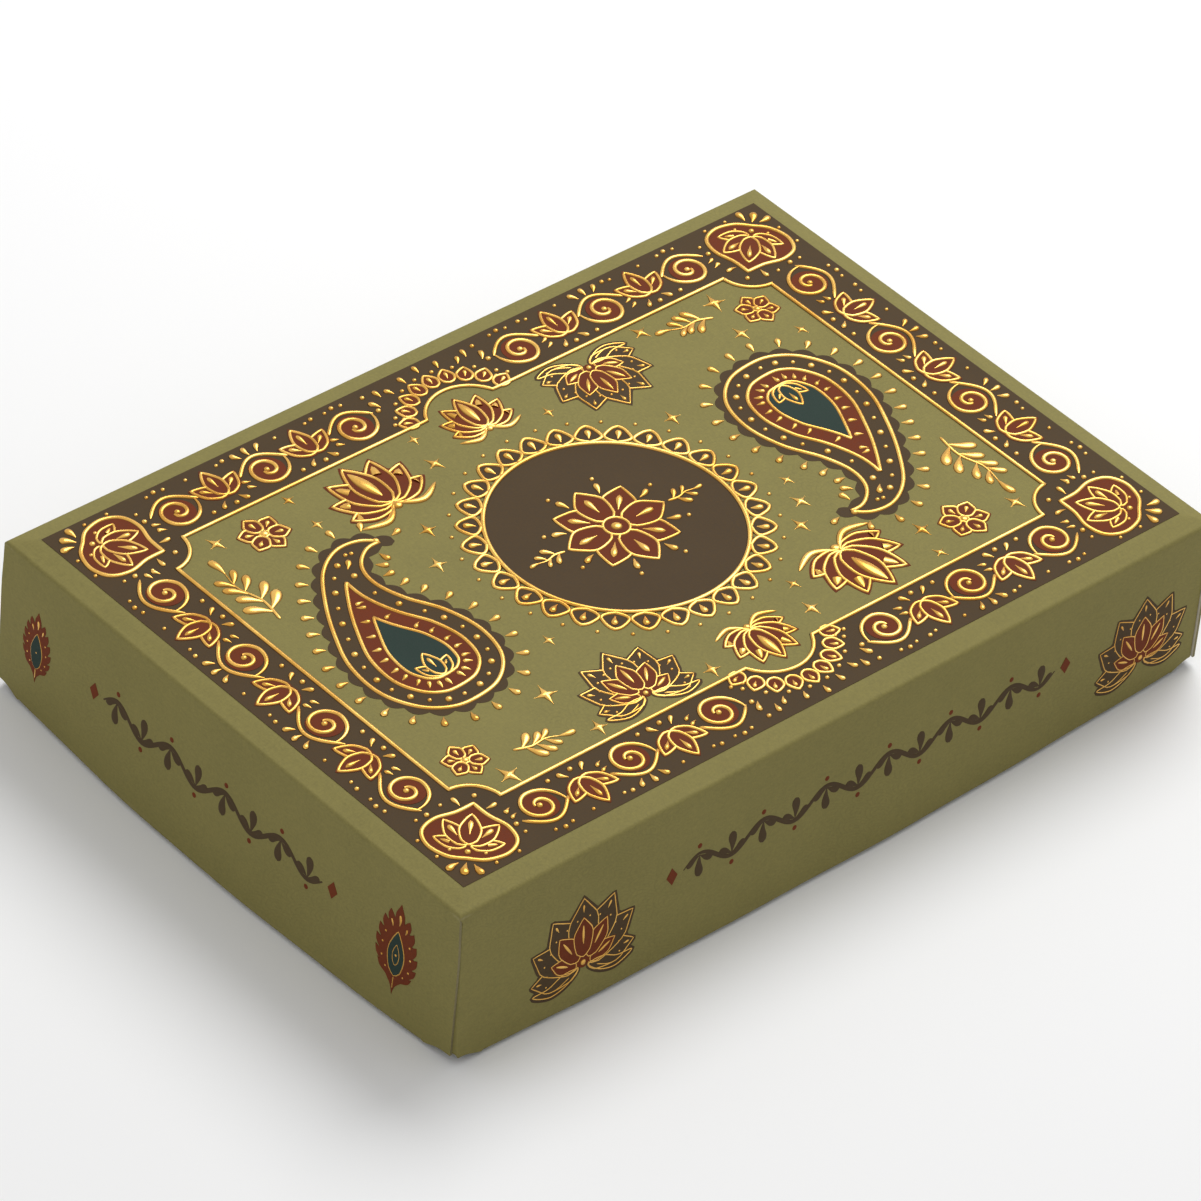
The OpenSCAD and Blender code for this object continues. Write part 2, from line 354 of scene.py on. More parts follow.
# What both folded blanks share: card, glue gap, corner notches and webs, places along a wall
cardBlank = {
    "card": 0.75, "ply": 0.06, "slit": 0.22, "web": 30,
    "notch": 1.6, "notchEnd": 2.4, "notchRun": 7.1, "stops": (11.5, 14), "pitch": 8,
}
# The lid's blank; the tray's is the same shape turned over
lidBlank = {
    **cardBlank, "halfX": printX + 6.5, "halfY": printY + 6.5, "height": topZ - boxMm("lid_shell")[0][2],
    "band": 6.5, "drop": 1.3, "fold": 1.2, "bowLong": 3.7, "bowShort": 4.4, "flare": 2.4, "proud": 0.6,
    "wave": 0.22, "sides": ("sageCard", "whiteBack", "whiteBack", "whiteBack", "cutEdge"),
}
trayBlank = {
    **cardBlank, "halfX": traySize[0], "halfY": traySize[1], "height": traySize[2],
    "band": 3.0, "drop": 0.05, "fold": 1.1, "bowLong": 0.35, "bowShort": 0.3, "flare": 0.0, "proud": 0.0,
    "wave": 0.08, "sides": ("trayCard", "whiteBack", "whiteBack", "whiteBack", "cutEdge"),
}


class Sheet:
    # Points, each with its wear, and faces, on card each with its material number; on card the wear is
    # rubbed creases, on print it grows from a stroke's crest to its edge and paints shade on the foil's
    # flanks
    def __init__(self):
        self.points, self.faces, self.marks, self.wear = [], [], [], []

    def add(self, point, wear=0.0):
        self.points.append(point)
        self.wear.append(wear)
        return len(self.points) - 1

    def quads(self, rows, mark):
        for a, b in zip(rows, rows[1:]):
            for i in range(len(a) - 1):
                self.faces.append((a[i], b[i], b[i + 1], a[i + 1]))
                self.marks.append(mark)


def rimOf(rows):
    # The outer points of a grid, once round
    return rows[0][:-1] + [row[-1] for row in rows[:-1]] + rows[-1][:0:-1] + [row[0] for row in rows[:0:-1]]


class Wall:
    # Walls 0 to 3 are front, right, back, left; t runs along one seen from outside, v from fold to rim
    def __init__(self, b, number):
        self.b, self.number, self.long = b, number, number % 2 == 0
        self.half, self.reach = (b["halfX"], b["halfY"]) if self.long else (b["halfY"], b["halfX"])
        self.bow, self.flare = (b["bowLong"], b["flare"]) if self.long else (b["bowShort"], 0)
        self.foldZ, self.rim = -b["drop"] - b["fold"], -b["height"]
        self.plain = self.half - b["notchEnd"] - b["notchRun"] + 0.01

    def turn(self, t, out, z):
        at = 1j ** self.number * complex(t, -self.reach - out)
        return at.real, at.imag, z

    def down(self, z):
        return (self.foldZ - z) / (self.foldZ - self.rim)

    def lean(self, t, v):
        # How far the wall leans out: bowed, sprung open at its right end, and a little wavy
        s, seed = t / self.half, self.number
        lean = self.bow * (1 - s * s) * v ** 1.1 + self.flare * ((1 - s) / 2) ** 2 * v ** 1.4
        wave = math.sin(t * 0.061 + seed) * math.sin(v * 2.6) + 0.5 * math.sin(t * 0.13 + 2 * seed)
        return lean + self.b["wave"] * wave * v * (1 - abs(s) ** 6)

    def rimRise(self, t):
        # The rim's cut edge climbs in a soft step to the notch at each corner
        along = (self.half - abs(t) - self.b["notchEnd"]) / self.b["notchRun"]
        return self.b["notch"] * (1 - smoothStep(along))

    def places(self):
        # Places along the wall, close together near the corner notches
        end, run = self.b["notchEnd"], self.b["notchRun"]
        near = [0, end / 2, end] + [end + run * k / 6 for k in range(1, 7)] + list(self.b["stops"])
        left = [-self.half + d for d in near]
        inner = self.half - near[-1]
        count = max(2, round(2 * inner / self.b["pitch"]))
        middle = [-inner + 2 * i * inner / count for i in range(1, count)]
        return left + middle + [-t for t in reversed(left)]


def foldBlank(b):
    # Panel at z = 0, walls hanging down to z = -height
    sheet, walls, fold = Sheet(), [Wall(b, number) for number in range(4)], b["fold"]
    halfX, halfY = b["halfX"], b["halfY"]
    shrinkX, shrinkY = (halfX - b["band"]) / halfX, (halfY - b["band"]) / halfY
    panel = [[sheet.add((x * shrinkX, y * shrinkY, 0)) for x in walls[0].places()]
             for y in walls[1].places()]
    sheet.quads(list(zip(*panel)), 0)
    # Rings round the panel, each with its inset, height and wear: sloping band, then the rounded fold
    rings = [(fold + (b["band"] - fold) * k, -b["drop"] * (1 - k), 0.0) for k in (0.6, 0.3)]
    for a in (math.radians(15 * step) for step in range(7)):
        z = -b["drop"] - fold * (1 - math.cos(a))
        rings.append((fold * (1 - math.sin(a)), z, math.sin(a) ** 2 * 0.5))
    inner = rimOf(panel)
    rows = [inner + inner[:1]]
    for inset, z, wear in rings:
        ring = []
        for wall in walls:
            for t in wall.places()[:-1]:
                x, y, z = wall.turn(t * (wall.half - inset) / wall.half, -inset, z)
                gaps = abs(abs(x) - halfX), abs(abs(y) - halfY)
                corner = 1.45 if min(gaps) < 2 and max(gaps) < 4 else 1.0
                ripple = 0.12 * math.sin(x * 0.09 + y * 0.07) * wear
                ring.append(sheet.add((x, y, z + ripple), min(1.0, wear * corner)))
        rows.append(ring + ring[:1])
    sheet.quads(rows, 0)
    start = 0
    for wall in walls:
        count = len(wall.places())
        foldWall(sheet, wall, rows[-1][start:start + count])
        start += count - 1
    return sheet


def foldWall(sheet, wall, top):
    b, half, rim, foldZ = wall.b, wall.half, wall.rim, wall.foldZ
    layers, stops = b["card"] + b["ply"], wall.places()
    # The turned-in layer ends this far in: two layers on a long wall, a web between them on a short one
    roll = (layers if wall.long else 1.5 * layers) / 2 + b["card"] / 4
    rows = [top]
    for v in (0.03, 0.08, 0.16, 0.26, 0.36, 0.46, 0.56, 0.66, 0.75, 0.83, 0.9, 0.95, 1.0):
        # A long wall stops short of the corner's slit, a short one stands proud of it
        end = half - layers - b["slit"] if wall.long else half + b["proud"] * smoothStep(3 * v)
        row = []
        for t in stops:
            low = rim + wall.rimRise(t) + (roll if abs(t) < wall.plain else 0)
            z = foldZ + (low - foldZ) * v
            place = math.copysign(end, t) if abs(t) == half else t
            wear = max(0.45 * smoothStep((abs(t) - half + 3) / 3), 0.6 * smoothStep((v - 0.9) / 0.1))
            row.append(sheet.add(wall.turn(place, wall.lean(t, wall.down(z)), z), wear))
        rows.append(row)
    sheet.quads(rows, 0)
    # Roll over the rim and turn in, between the notches only
    keep = [i for i, t in enumerate(stops) if abs(t) < wall.plain]
    turned = [[rows[-1][i] for i in keep]]
    for a in (math.radians(22.5 * step) for step in range(1, 9)):
        row = []
        for t in (stops[i] for i in keep):
            out, z = wall.lean(t, 1) - roll * (1 - math.cos(a)), rim + roll - roll * math.sin(a)
            row.append(sheet.add(wall.turn(t, out, z), 1.0 if math.sin(a) > 0.8 else 0.6))
        turned.append(row)
    edge = len(turned)
    for v in (0.95, 0.9, 0.8, 0.65, 0.5, 0.35, 0.2, 0.1, 0.05):
        z = foldZ + (rim + roll - foldZ) * v
        turned.append([sheet.add(wall.turn(t, wall.lean(t, wall.down(z)) - 2 * roll, z))
                       for t in (stops[i] for i in keep)])
    sheet.quads(turned[:edge + 1], 0)
    sheet.quads(turned[edge:], 2)
    if wall.long:
        foldWeb(sheet, wall, -1)
        foldWeb(sheet, wall, 1)


def foldWeb(sheet, wall, sign):
    # The glued web carries on from a long wall's end, round the corner and behind the short wall
    b, rows = wall.b, []
    corner, bend = wall.half - b["card"] - b["ply"] - b["slit"], 0.8
    for v in (0.03, 0.16, 0.36, 0.56, 0.75, 0.9, 0.985):
        z = wall.foldZ + (wall.rim + b["notch"] - wall.foldZ) * v
        share = wall.down(z)
        out = wall.lean(sign * wall.half, share)
        row = []
        for reach in (0, 0.35, bend, 3, 9, 16, 23, b["web"]):
            turnIn, s = min(1.0, reach / bend), (b["halfY"] - reach) / b["halfY"]
            bow = b["bowShort"] * (1 - s * s) * share ** 1.1 * turnIn
            x = corner + 0.2 * math.sin(turnIn * math.pi / 2) + bow
            y = out * (1 - smoothStep(reach / 12)) - reach * turnIn
            row.append(sheet.add(wall.turn(sign * x, y, z)))
        rows.append(row[::sign])
    sheet.quads(rows, 0)


def makeBlank(name, b, flipped, height):
    sheet = foldBlank(b)
    points = [(x, -y, -z) if flipped else (x, y, z + height) for x, y, z in sheet.points]
    piece = makePiece(name, points, sheet.faces, b["sides"], sheet.marks, smoothAngle=None, wear=sheet.wear)
    solid = piece.modifiers.new("thickness", "SOLIDIFY")
    solid.thickness = b["card"] * mm
    solid.offset = -1
    solid.use_even_offset = True
    solid.use_rim = True
    solid.material_offset = 1
    solid.material_offset_rim = 4
    applyModifiers(piece)
    piece.data.set_sharp_from_angle(angle=math.radians(38))
    return piece


lidPiece = makeBlank("lidCard", lidBlank, False, topZ)
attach(lidPiece, "lid")
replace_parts(lidPiece, "lid_shell", "lid_lining_front", "lid_lining_back", "lid_lining_left",
            "lid_lining_right", "lid_corner_webs")
trayPiece = makeBlank("trayCard", trayBlank, True, 0)
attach(trayPiece, "base")
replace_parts(trayPiece, "base_shell", "base_lining_front", "base_lining_back", "base_lining_left",
            "base_lining_right", "base_corner_webs")
print("lid and tray folded")


# Drawing kit for the print: a place on a surface is a complex number in mm, right and up

def arcPath(centre, radius, start, end, count=24):
    return [centre + cmath.rect(radius, math.radians(start + (end - start) * i / count))
            for i in range(count + 1)]


def curvePath(points, closed=False, step=0.9):
    # A smooth line through the points
    count, path = len(points), []
    for i in range(count if closed else count - 1):
        a, b, c, d = (points[(i + k) % count] if closed else points[min(max(i + k, 0), count - 1)]
                      for k in (-1, 0, 1, 2))
        parts = max(2, round(abs(c - b) / step))
        for k in range(parts):
            t = k / parts
            path.append((2 * b + (c - a) * t + (2 * a - 5 * b + 4 * c - d) * t ** 2
                         + (3 * b - a - 3 * c + d) * t ** 3) / 2)
    return path if closed else path + [points[-1]]


def mirrored(path):
    return [-p.conjugate() for p in path]


def bothSides(right):
    # Closes a path that starts and ends on the imaginary axis with its mirror image
    return right + mirrored(right)[::-1][1:-1]


def petalPath(length, width, belly=0.5, closed=True):
    # Petal from 0 to a pointed tip up the imaginary axis
    side = curvePath([0j, complex(width * 0.34, length * 0.13), complex(width * 0.5, length * belly),
                      complex(width * 0.24, length * 0.84), complex(0, length)], step=length / 11)
    return bothSides(side) if closed else side + mirrored(side)[::-1][1:]


def moved(path, at, turn=0.0, size=1.0):
    rotor = cmath.rect(size, math.radians(turn))
    return [at + p * rotor for p in path]


def evenly(path, count):
    # The closed path again, with its points the same distance apart
    ring = path + path[:1]
    lengths = [abs(b - a) for a, b in zip(ring, ring[1:])]
    total, out, done, i = sum(lengths), [], 0.0, 0
    for k in range(count):
        want = total * k / count
        while done + lengths[i] < want:
            done += lengths[i]
            i += 1
        out.append(ring[i] + (ring[i + 1] - ring[i]) * (want - done) / lengths[i])
    return out


def outwards(path):
    # Unit steps away from the inside of a closed path
    area = sum((a.conjugate() * b).imag for a, b in zip(path, path[1:] + path[:1]))
    sign = -1j if area > 0 else 1j
    steps = [path[(i + 1) % len(path)] - path[i - 1] for i in range(len(path))]
    return [sign * s / (abs(s) or 1) for s in steps]


def grown(path, amount):
    # The closed path moved out by amount, or in where amount is negative
    out = [p + n * amount for p, n in zip(path, outwards(path))]
    return [q for q in out if min(abs(q - p) for p in path) > abs(amount) * 0.985]


def aroundShapes(centre, shapes, grow=0.0, least=1.0, step=3):
    # One outline round several shapes, as seen from a place inside them all
    outline = []
    for a in range(0, 360, step):
        ray = cmath.rect(1, math.radians(a + 0.1))
        far = least
        for shape in shapes:
            for p, q in zip(shape, shape[1:] + shape[:1]):
                u, v = (p - centre) / ray, (q - centre) / ray
                if u.imag * v.imag <= 0 and u.imag != v.imag:
                    far = max(far, u.real + (v.real - u.real) * u.imag / (u.imag - v.imag))
        outline.append(centre + ray * (far + grow))
    return outline


def inside(shapes, p):
    # Whether any of the closed shapes has the place p inside it
    for shape in shapes:
        crossings = 0
        for a, b in zip(shape, shape[1:] + shape[:1]):
            if (a.imag > p.imag) != (b.imag > p.imag):
                crossings += a.real + (p.imag - a.imag) * (b.real - a.real) / (b.imag - a.imag) > p.real
        if crossings % 2 == 1:
            return True
    return False


def showing(path, fronts):
    # The runs of a path that no shape in front covers, each ending where that shape cuts it
    hidden, runs, run = [inside(fronts, p) for p in path], [], []

    def cut(clear, covered):
        for k in range(10):
            middle = (clear + covered) / 2
            clear, covered = (clear, middle) if inside(fronts, middle) else (middle, covered)
        return clear

    for i, p in enumerate(path):
        if not hidden[i]:
            run += [cut(p, path[i - 1]), p] if i and hidden[i - 1] else [p]
        elif run:
            runs.append(run + [cut(path[i - 1], p)])
            run = []
    return [r for r in runs + [run] if len(r) > 2]


# How wide a stroke is along its length, from 0 to 1
strokeShapes = {
    "even": lambda s: 1.0,
    "line": lambda s: min(1.0, 0.35 + 9 * s, 0.35 + 9 * (1 - s)),
    "tail": lambda s: min(1.0, 0.5 + 12 * s) * (1 - 0.7 * s ** 1.5),
    "curl": lambda s: min(1.0, 0.4 + 6 * s, 0.6 + 2.5 * (1 - s)),
    "leaf": lambda s: 0.1 + 0.9 * math.sin(math.pi * s) ** 0.8,
    "star": lambda s: 0.08 + 0.92 * math.sin(math.pi * s) ** 2.6,
    "drop": lambda s: 0.14 + 0.86 * math.sin(math.pi * s ** 1.9) ** 0.75,
    "tucked": lambda s: 0.1 + 0.8 * (1 - s ** 2.4) ** 0.7,
}
# Across a stroke and a dot: place from middle to edge, and height there
strokeProfile = ((-1, 0), (-0.86, 0.5), (-0.5, 0.9), (0, 1), (0.5, 0.9), (0.86, 0.5), (1, 0))
dotProfile = ((1, 0), (0.84, 0.55), (0.5, 0.9))
# Name, material slot and, for ink, film height of each colour
inks = {"goldFoil": ("Foil", "gold_foil", 0), "brownInk": ("Brown", "dark_ink", 0.04),
        "maroonInk": ("Maroon", "maroon_ink", 0.08), "tealInk": ("Teal", "dark_ink", 0.12)}
# Foil height for its width, how far all print is sunk into its ground, and the step between fills
printRelief = {"least": 0.12, "perWidth": 0.27, "most": 0.62, "inkDome": 0.06, "sunk": 0.03, "step": 0.008}


class Motif:
    # Strokes, dots and fills drawn round 0, ready to be stamped
    def __init__(self):
        self.items = []

    def stroke(self, path, width=1.2, shape="line", colour="goldFoil"):
        self.items.append(("stroke", colour, list(path), width, shape))
        return self

    def loop(self, path, width=1.0, colour="goldFoil"):
        self.items.append(("loop", colour, list(path), width, "even"))
        return self

    def dot(self, at, radius=0.7, colour="goldFoil"):
        self.items.append(("dot", colour, [complex(at)], radius, None))
        return self

    def fill(self, outline, colour="maroonInk"):
        self.items.append(("fill", colour, list(outline), 0, None))
        return self

    def drop(self, at, turn, length=3.6, width=1.9, colour="goldFoil"):
        tip = cmath.rect(length, math.radians(turn + 90))
        bend = tip * 0.5 + cmath.rect(length * 0.06, math.radians(turn))
        return self.stroke(curvePath([at + 0j, at + bend, at + tip], step=length / 9), width, "drop", colour)

    def pairs(self, drops=(), dots=()):
        # Drops (place, turn, length, width) and dots (place, radius), each with its mirror image
        for sign in (1, -1):
            for at, turn, length, width in drops:
                self.drop(complex(sign * at.real, at.imag), sign * turn, length, width)
            for at, radius in dots:
                self.dot(complex(sign * at.real, at.imag), radius)
        return self

    def layers(self, parts, line, over=()):
        # Parts run from back to front: each is an outline and the strokes inside it
        for i, (outline, inner) in enumerate(parts):
            fronts = [front for front, strokes in parts[i + 1:]] + list(over)
            first = next((k for k, p in enumerate(outline) if inside(fronts, p)), None)
            if first is None:
                self.loop(outline, line)
            else:
                for run in showing(outline[first:] + outline[:first + 1], fronts):
                    self.stroke(run, line, "even")
            for path, thick, shape in inner:
                for run in showing(path, [grown(front, thick * 0.35) for front in fronts]):
                    whole = len(run) > 0.85 * len(path)
                    self.stroke(run, thick if whole else thick * 0.8, shape if whole else "tucked")
        return self

    def add(self, other, at=0j, turn=0.0, size=1.0, flip=False):
        self.items += other.placed(at, turn, size, flip)
        return self

    def placed(self, at, turn=0.0, size=1.0, flip=False):
        # Thin lines keep more of their width than the motif does of its size
        out = []
        for kind, colour, path, width, shape in self.items:
            path = moved(mirrored(path) if flip else path, at, turn, size)
            share = size if kind == "dot" or width > 1.5 else size ** 0.5
            out.append((kind, colour, path, width * share, shape))
        return out


class Print:
    # All the foil and ink on one surface; place turns right, up and height into x, y, z
    def __init__(self, place, base=0.0, relief=1.0, grid=None):
        self.place, self.base, self.relief, self.grid = place, base, relief, grid
        self.piles, self.layer, self.foot = {}, 0, base - printRelief["sunk"]

    def stamp(self, motif, at=0j, turn=0.0, size=1.0, flip=False):
        for kind, colour, path, width, shape in motif.placed(at, turn, size, flip):
            pile = self.piles.setdefault(colour, Sheet())
            if kind == "fill":
                # Neighbouring fills lie a hair apart, so that none share a plane
                self.layer = (self.layer + 1) % 4
                self.addFill(pile, path, self.base + inks[colour][2] + printRelief["step"] * self.layer)
            elif kind == "dot":
                self.addDot(pile, path[0], width, self.rise(width * 2, colour))
            else:
                self.addStroke(pile, path, width, shape, kind == "loop", self.rise(width, colour))

    def rise(self, width, colour):
        # Height of a stroke or dot above the foot it is sunk to
        r = printRelief
        foil = min(r["most"], r["least"] + r["perWidth"] * width) * self.relief
        return r["sunk"] + (foil if "Foil" in colour else inks[colour][2] + r["inkDome"])

    def addStroke(self, pile, path, width, shape, closed, rise):
        path = [p for i, p in enumerate(path) if i == 0 or abs(p - path[i - 1]) > 1e-4]
        first, count, across = len(pile.points), len(path), len(strokeProfile)
        for i, p in enumerate(path):
            before = path[i - 1] if i or closed else p
            after = path[(i + 1) % count] if i < count - 1 or closed else p
            along = after - before
            side = -1j * along / (abs(along) or 1)
            share = strokeShapes[shape](i / (count - 1))
            # The wear value grows from the crest to the edge; on foil it paints shade on the flanks
            for offset, height in strokeProfile:
                q = p + side * offset * share * width / 2
                level = self.foot + height * rise * share ** 0.6
                pile.add(self.place(q.real, q.imag, level), offset * offset)
        for i in range(count if closed else count - 1):
            a, b = first + i * across, first + (i + 1) % count * across
            for k in range(across):
                n = (k + 1) % across
                pile.faces.append((a + k, a + n, b + n, b + k))
        if not closed:
            end = len(pile.points)
            pile.faces += [tuple(reversed(range(first, first + across))), tuple(range(end - across, end))]

    def addDot(self, pile, at, radius, rise):
        first, sides = len(pile.points), 10 if radius < 1 else 18
        # The wear value grows towards the rim; on foil it paints shade round the dot's edge
        for share, height in dotProfile:
            for k in range(sides):
                q = at + cmath.rect(radius * share, 2 * math.pi * k / sides)
                pile.add(self.place(q.real, q.imag, self.foot + height * rise), share * share)
        crest = pile.add(self.place(at.real, at.imag, self.foot + rise))
        top = crest - sides
        for low in range(first, top, sides):
            for k in range(sides):
                a, b = low + k, low + (k + 1) % sides
                pile.faces.append((a, b, b + sides, a + sides))
        pile.faces += [(top + k, top + (k + 1) % sides, crest) for k in range(sides)]
        pile.faces.append(tuple(reversed(range(first, first + sides))))

    def addFill(self, pile, outline, level):
        # A thin closed film; on a bowed wall it is cut into a grid so that it follows the card
        film = bmesh.new()
        corners = [film.verts.new((p.real, p.imag, level)) for p in outline]
        for tri in tessellate_polygon([[Vector((p.real, p.imag, 0)) for p in outline]]):
            a, b, c = (outline[i] for i in tri)
            turnsLeft = ((b - a).conjugate() * (c - a)).imag
            if abs(turnsLeft) > 1e-9:
                film.faces.new([corners[i] for i in (tri if turnsLeft > 0 else reversed(tri))])
        if self.grid:
            for axis, values in ((0, [p.real for p in outline]), (1, [p.imag for p in outline])):
                for k in range(math.floor(min(values) / self.grid) + 1, math.ceil(max(values) / self.grid)):
                    cut = Vector((0, 0, 0))
                    cut[axis] = k * self.grid
                    bmesh.ops.bisect_plane(film, geom=film.verts[:] + film.edges[:] + film.faces[:],
                                           plane_co=cut, plane_no=(1 - axis, axis, 0), dist=1e-5)
        film.verts.index_update()
        first, count = len(pile.points), len(film.verts)
        for height in (level, self.foot):
            for v in film.verts:
                pile.add(self.place(v.co.x, v.co.y, height))
        for face in film.faces:
            ring = [first + v.index for v in face.verts]
            pile.faces += [tuple(ring), tuple(count + i for i in reversed(ring))]
            for loop in face.loops:
                if len(loop.edge.link_faces) == 1:
                    a, b = first + loop.vert.index, first + loop.link_loop_next.vert.index
                    pile.faces.append((b, a, a + count, b + count))
        film.free()

    def pieces(self, name, body):
        made = {}
        for colour, pile in self.piles.items():
            label, slot, level = inks[colour]
            piece = makePiece(name + label, pile.points, pile.faces, [colour],
                              smoothAngle=60, wear=pile.wear)
            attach(piece, body)
            made[colour] = piece
        return made


# Motifs, each drawn once and stamped many times

def fanned(count, spread, shrink):
    # Turn and size of each petal in a fan, from the outer ones at the back to the middle one in front
    half = (count - 1) / 2
    places = sorted(((i - half) / half for i in range(count)), key=lambda s: (-abs(s), s))
    return [(-spread / 2 * s, 1 - shrink * s * s) for s in places]


def ringed(count):
    # The same for a ring, with every other petal in front
    return [(360 * k / count, 1.0) for k in (*range(1, count, 2), *range(0, count, 2))]


def makeBloom(leans, length, width, belly=0.5, start=0.0, ground="maroonInk", grow=0.8, line=1.0,
              veins=(), over=()):
    # Petals on a ground; veins run up each petal, as from, to, thickness and stroke shape
    bloom, parts = Motif(), []
    petal = [p + 1j * start for p in petalPath(length, width, belly)]
    for turn, size in leans:
        inner = []
        for low, high, thick, shape in veins:
            vein = [1j * (start + length * (low + (high - low) * k / 10)) for k in range(11)]
            inner.append((moved(vein, 0j, turn, size), thick, shape))
        parts.append((moved(petal, 0j, turn, size), inner))
    bloom.edge = aroundShapes(complex(0, length * 0.12), [outline for outline, inner in parts], grow)
    if ground:
        bloom.fill(bloom.edge, ground)
    return bloom.layers(parts, line, over)


def makeCornerPalm():
    # Pointed arch of maroon holding a fan, over a foot of drops
    palm = Motif()
    arch = bothSides(curvePath([0j, 4.8 + 0.2j, 9.8 + 3.4j, 11.6 + 8.4j, 9.0 + 13.2j, 4.0 + 16.4j, 20.2j]))
    palm.fill(grown(arch, -0.1)).loop(arch, 1.35)
    fan = makeBloom(fanned(5, 146, 0.26), 11.2, 5.4, start=1.0, ground=None, line=0.85,
                    veins=((0.34, 0.8, 1.7, "drop"),))
    palm.add(fan, at=4.0j).dot(2.4j, 0.95).dot(23.2j, 0.8)
    palm.pairs([(1.9 - 1.9j, 220, 4.0, 2.2), (3.2 + 18.9j, -44, 3.4, 1.5)],
               [(at, 0.6) for at in (4.4 + 2.6j, 7.2 - 0.4j, 12.3 + 4.6j, 7.9 + 18.4j)])
    return palm.drop(-1.6j, 180, 4.4, 2.5)


def makeCurlPocket(flourish):
    # A curl filled with maroon, in the hollow below the vine's crest
    pocket, middle, parts, curl = Motif(), -1.8j, 56, []
    for i in range(parts + 1):
        s = i / parts
        radius = 5.2 - 4.0 * max(0, s - 0.22) / 0.78 + 2.1 * max(0, 1 - s / 0.2) ** 2
        curl.append(middle + cmath.rect(radius, math.radians(160 + 545 * s)))
    pocket.fill(arcPath(middle, 4.9, 0, 348, 29)).stroke(curl, 1.35, "curl").dot(middle + 0.1, 0.95)
    for k in range(2):
        pocket.drop(complex(6.6 - 0.1 * k, -5.6 + 2.5 * k), -58 - 8 * k, 2.5, 1.3)
    if not flourish:
        return pocket.dot(-2.6 + 7.3j, 0.65).dot(0.1 + 7.8j, 0.8).dot(2.8 + 7.2j, 0.6)
    for x, turn in ((-2.6, 34), (0, 0), (2.6, -34)):
        pocket.drop(complex(x, 5.3), turn, 3.3, 1.7)
    return pocket


def makeBudPocket():
    # A bud on a maroon wash, hanging below the crest
    bud = makeBloom(fanned(3, 98, 0.12), 10.4, 5.2, grow=0.9, veins=((0.34, 0.78, 1.5, "drop"),))
    pocket = Motif().add(bud, at=3.6j, turn=180)
    return pocket.pairs([(2.2 + 5.5j, -38, 3.2, 1.6)], [(5.0 - 6.9j, 0.6)]).dot(7.6j, 0.85)


# Vine border: how far the stem swings, its thickness and its steps between pockets
vine = {"swing": 4.5, "stem": 1.25, "steps": 14}


def makeVine(length, kinds):
    # Pockets follow the letters in kinds: curl, curl with a flourish, bud
    run, buds = Motif(), []
    made = {"c": makeCurlPocket(False), "f": makeCurlPocket(True), "b": makeBudPocket()}
    pitch, steps = length / len(kinds), len(kinds) * vine["steps"]
    stem = [complex(length * i / steps - length / 2,
                    vine["swing"] * math.cos(math.pi * (length * i / steps - pitch / 2) / pitch))
            for i in range(steps + 1)]
    for k, kind in enumerate(kinds):
        # Half a turn and a flip together turn a pocket over without reversing the vine's run
        under, at = k % 2 == 1, complex((k + 0.5) * pitch - length / 2, 0)
        items = made[kind].placed(at, 180 if under else 0, flip=under)
        run.items += items
        if kind == "b":
            buds += [path for item, colour, path, width, shape in items if item == "fill"]
        if k:
            run.dot(at + complex(-pitch / 2, 7.4 if under else -7.4), 0.75)
    for part in showing(stem, buds):
        run.stroke(part, vine["stem"])
    for end in (-1, 1):
        for y, radius in ((0, 0.85), (3.4, 0.6)):
            run.dot(complex(end * (length / 2 + 1.9), y), radius)
    return run


def makeSprig(length, pairs, leafLength):
    # A curved stem with leaves in pairs and one at the tip
    stem = curvePath([0j, complex(length * 0.06, length * 0.36), complex(-length * 0.02, length * 0.7),
                      complex(length * 0.04, length)], step=1.0)
    sprig = Motif().stroke(stem, 1.0, "tail")
    for k in range(pairs):
        at = stem[round((0.18 + 0.74 * k / pairs) * (len(stem) - 1))]
        size = leafLength * (1 - 0.36 * k / pairs)
        for sign in (1, -1):
            sprig.drop(at + complex(0, sign * 0.6), -sign * (50 - 4 * k), size, size * 0.4)
    return sprig.drop(stem[-2], 0, leafLength * 0.8, leafLength * 0.32)


def makeStar(size):
    star = Motif()
    for turn, reach in ((8, 1.15), (98, 0.95)):
        ray = [complex(0, size * reach * (k / 7 - 1)) for k in range(15)]
        star.stroke(moved(ray, 0j, turn), size * 0.62, "star")
    return star


def makeFlower(petals, radius):
    flower = makeBloom(ringed(petals), radius * 0.88, radius * 0.7, 0.58, radius * 0.16, grow=0.7, line=0.85,
                       veins=((0.3, 0.72, radius * 0.22, "drop"),))
    return flower.dot(0j, radius * 0.2)


def makeRosette(ground):
    # Eight petals round a ring, with drops between and a sprig to each side
    ring = arcPath(0j, 3.5, 0, 345, 23)
    rosette = makeBloom(ringed(8), 13.4, 8.8, 0.56, 2.6, ground, 0.45, 0.95,
                        ((0.3, 0.74, 2.1, "drop"),), [ring])
    for k in range(8):
        between = cmath.rect(1, math.pi * (k + 0.5) / 4)
        rosette.drop(between * 13.4, 45 * k - 67.5, 4.0, 1.9).dot(between * 19.4, 0.7)
    for turn in (0, 180):
        rosette.add(makeSprig(8.6, 2, 4.4), at=cmath.rect(17.4, math.radians(turn)), turn=turn - 90)
    return rosette.loop(ring, 0.95).dot(0j, 1.6)


def makeLotus(length, width):
    # Open bloom seen from the side: full gold petals over a maroon shadow
    bloom = makeBloom(fanned(7, 160, 0.26), length, width, 0.52, 0.4, grow=1.0, line=0.95,
                      veins=((0.2, 0.88, width * 0.5, "leaf"),))
    for sign in (1, -1):
        bloom.stroke(curvePath([complex(sign * 0.6, -0.6), complex(sign * length * 0.38, -length * 0.24),
                                complex(sign * length * 0.8, -length * 0.1)]), 1.8, "leaf")
    return bloom.dot(-1.0j, 1.2)


